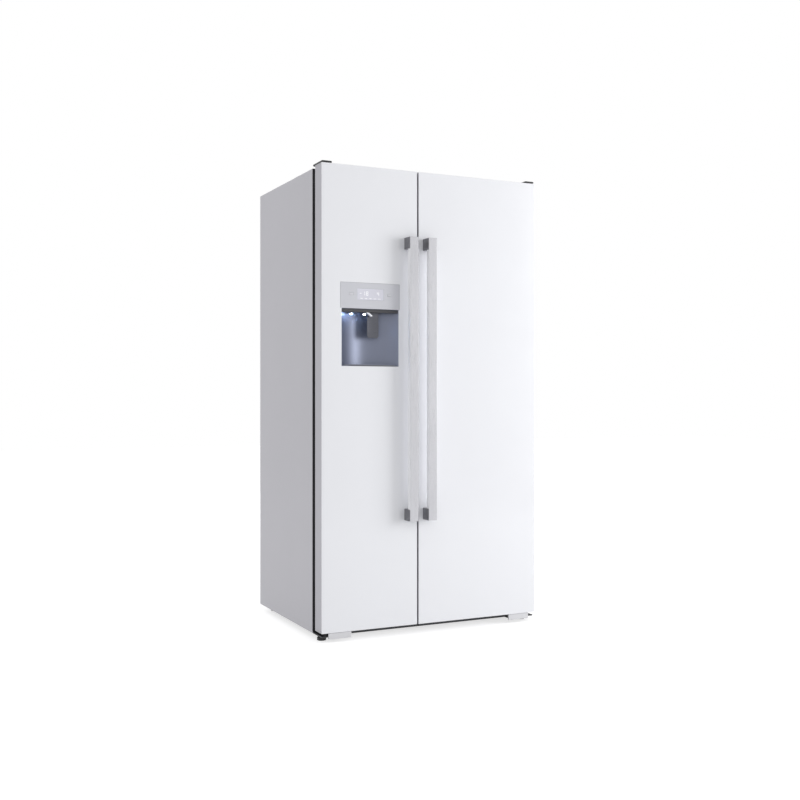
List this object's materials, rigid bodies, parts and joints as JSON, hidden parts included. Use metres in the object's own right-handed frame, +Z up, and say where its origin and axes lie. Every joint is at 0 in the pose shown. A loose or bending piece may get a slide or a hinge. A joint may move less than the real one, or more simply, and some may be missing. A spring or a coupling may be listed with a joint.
{
  "type": "side by side refrigerator",
  "caption": "Free-standing side by side refrigerator with white glass doors, bar handles and an ice and water dispenser in the freezer door.",
  "frame": {"origin": "centre of the footprint, on the floor", "axes": "+X to the viewer's right along the front, +Y to the back, +Z up"},
  "size_m": [0.91, 0.744, 1.7488],
  "materials": {
    "side_panels": "satin",
    "rear_steel": "matte",
    "foam": "matte",
    "liner": "satin",
    "frame_steel": "satin",
    "black_steel": "matte",
    "dark_plastic": "matte",
    "black_plastic": "satin",
    "compressor_paint": "satin",
    "white_plastic": "satin",
    "bright_steel": "satin",
    "shelf_glass": "gloss",
    "trim_plastic": "gloss",
    "clear_plastic": "gloss",
    "coil_aluminium": "satin",
    "motor_steel": "satin",
    "roller_plastic": "matte",
    "white_glass": "gloss",
    "door_edge": "satin",
    "door_cap": "satin",
    "gasket": "matte",
    "handle_aluminium": "satin",
    "mount_metal": "satin",
    "fascia_silver": "satin",
    "display": "gloss",
    "niche_steel": "satin",
    "grille_steel": "satin",
    "paddle_metal": "satin",
    "button_plastic": "gloss"
  },
  "bodies": {
    "cabinet": {"outer_panels": "side_panels", "rear_panel": "rear_steel", "insulation": "foam", "freezer_liner": "liner", "fridge_liner": "liner", "front_frame": "frame_steel", "base_frame": "black_steel", "kick_plate": "dark_plastic", "door_hinges": "black_steel", "hinge_covers": "black_plastic", "compressor": "compressor_paint", "condenser": "black_steel", "machine_cover": "dark_plastic", "water_valve": "white_plastic", "mains_inlet": "black_plastic", "roller_axles": "bright_steel", "cabinet_screws": "bright_steel", "glass_shelves": "shelf_glass", "shelf_trims": "trim_plastic", "ice_maker": "white_plastic", "ice_bucket": "clear_plastic", "evaporator": "coil_aluminium", "rear_ducts": "liner", "motors": "motor_steel"},
    "freezer_door": {"freezer_door_glass": "white_glass", "freezer_door_core": "door_edge", "freezer_door_caps": "door_cap", "freezer_door_liner": "liner", "freezer_gasket": "gasket", "freezer_handle_bar": "handle_aluminium", "freezer_handle_mounts": "mount_metal", "dispenser_fascia": "fascia_silver", "dispenser_display": "display", "dispenser_niche": "niche_steel", "ice_chute": "white_plastic", "drip_grille": "grille_steel", "freezer_bins": "clear_plastic"},
    "fridge_door": {"fridge_door_glass": "white_glass", "fridge_door_core": "door_edge", "fridge_door_caps": "door_cap", "fridge_door_liner": "liner", "fridge_gasket": "gasket", "fridge_handle_bar": "handle_aluminium", "fridge_handle_mounts": "mount_metal", "fridge_bins": "clear_plastic"},
    "condenser_fan": {"condenser_fan": "dark_plastic"},
    "evaporator_fan": {"evaporator_fan": "dark_plastic"},
    "ice_auger": {"ice_auger": "bright_steel"},
    "left_foot": {"left_foot": "black_plastic"},
    "right_foot": {"right_foot": "black_plastic"},
    "left_roller": {"left_roller": "roller_plastic"},
    "right_roller": {"right_roller": "roller_plastic"},
    "freezer_drawer_upper": {"freezer_drawer_upper": "clear_plastic"},
    "freezer_drawer_lower": {"freezer_drawer_lower": "clear_plastic"},
    "crisper_upper": {"crisper_upper": "clear_plastic"},
    "crisper_lower": {"crisper_lower": "clear_plastic"},
    "dispense_paddle": {"dispense_paddle": "paddle_metal"},
    "water_button": {"water_button": "button_plastic"},
    "ice_button": {"ice_button": "button_plastic"},
    "dairy_lid": {"dairy_lid": "clear_plastic"}
  },
  "joints": [
    {"name": "freezer_door_hinge", "type": "hinge", "parent": "cabinet", "child": "freezer_door", "pos_m": [-0.43, -0.299, 0.036], "axis": [0, 0, -1], "range_deg": [0, 130]},
    {"name": "fridge_door_hinge", "type": "hinge", "parent": "cabinet", "child": "fridge_door", "pos_m": [0.43, -0.299, 0.036], "axis": [0, 0, 1], "range_deg": [0, 130]},
    {"name": "freezer_drawer_upper_slide", "type": "slide", "parent": "cabinet", "child": "freezer_drawer_upper", "axis": [0, -1, 0], "range_m": [0, 0.07]},
    {"name": "freezer_drawer_lower_slide", "type": "slide", "parent": "cabinet", "child": "freezer_drawer_lower", "axis": [0, -1, 0], "range_m": [0, 0.07]},
    {"name": "crisper_upper_slide", "type": "slide", "parent": "cabinet", "child": "crisper_upper", "axis": [0, -1, 0], "range_m": [0, 0.07]},
    {"name": "crisper_lower_slide", "type": "slide", "parent": "cabinet", "child": "crisper_lower", "axis": [0, -1, 0], "range_m": [0, 0.07]},
    {"name": "paddle_pivot", "type": "hinge", "parent": "freezer_door", "child": "dispense_paddle", "pos_m": [-0.242, -0.3, 1.203], "axis": [1, 0, 0], "range_deg": [0, 12], "stiffness_Nm_per_rad": 0.5},
    {"name": "water_button_press", "type": "slide", "parent": "freezer_door", "child": "water_button", "axis": [0, 1, 0], "range_m": [0, 0.001], "stiffness_N_per_m": 400},
    {"name": "ice_button_press", "type": "slide", "parent": "freezer_door", "child": "ice_button", "axis": [0, 1, 0], "range_m": [0, 0.001], "stiffness_N_per_m": 400},
    {"name": "dairy_lid_hinge", "type": "hinge", "parent": "fridge_door", "child": "dairy_lid", "pos_m": [0, -0.159, 1.636], "axis": [1, 0, 0], "range_deg": [0, 80]},
    {"name": "evaporator_fan_spin", "type": "hinge", "parent": "cabinet", "child": "evaporator_fan", "pos_m": [-0.2478, 0.262, 1.087], "axis": [0, 1, 0], "continuous": true},
    {"name": "condenser_fan_spin", "type": "hinge", "parent": "cabinet", "child": "condenser_fan", "pos_m": [0.055, 0.26, 0.136], "axis": [0, 1, 0], "continuous": true},
    {"name": "ice_auger_spin", "type": "hinge", "parent": "cabinet", "child": "ice_auger", "pos_m": [-0.2478, -0.188, 1.4403], "axis": [0, 1, 0], "continuous": true},
    {"name": "left_foot_thread", "type": "hinge", "parent": "cabinet", "child": "left_foot", "pos_m": [-0.43, -0.26, 0], "axis": [0, 0, 1], "continuous": true},
    {"name": "right_foot_thread", "type": "hinge", "parent": "cabinet", "child": "right_foot", "pos_m": [0.43, -0.26, 0], "axis": [0, 0, 1], "continuous": true},
    {"name": "left_roller_spin", "type": "hinge", "parent": "cabinet", "child": "left_roller", "pos_m": [-0.415, 0.312, 0.018], "axis": [1, 0, 0], "continuous": true},
    {"name": "right_roller_spin", "type": "hinge", "parent": "cabinet", "child": "right_roller", "pos_m": [0.415, 0.312, 0.018], "axis": [1, 0, 0], "continuous": true}
  ]
}
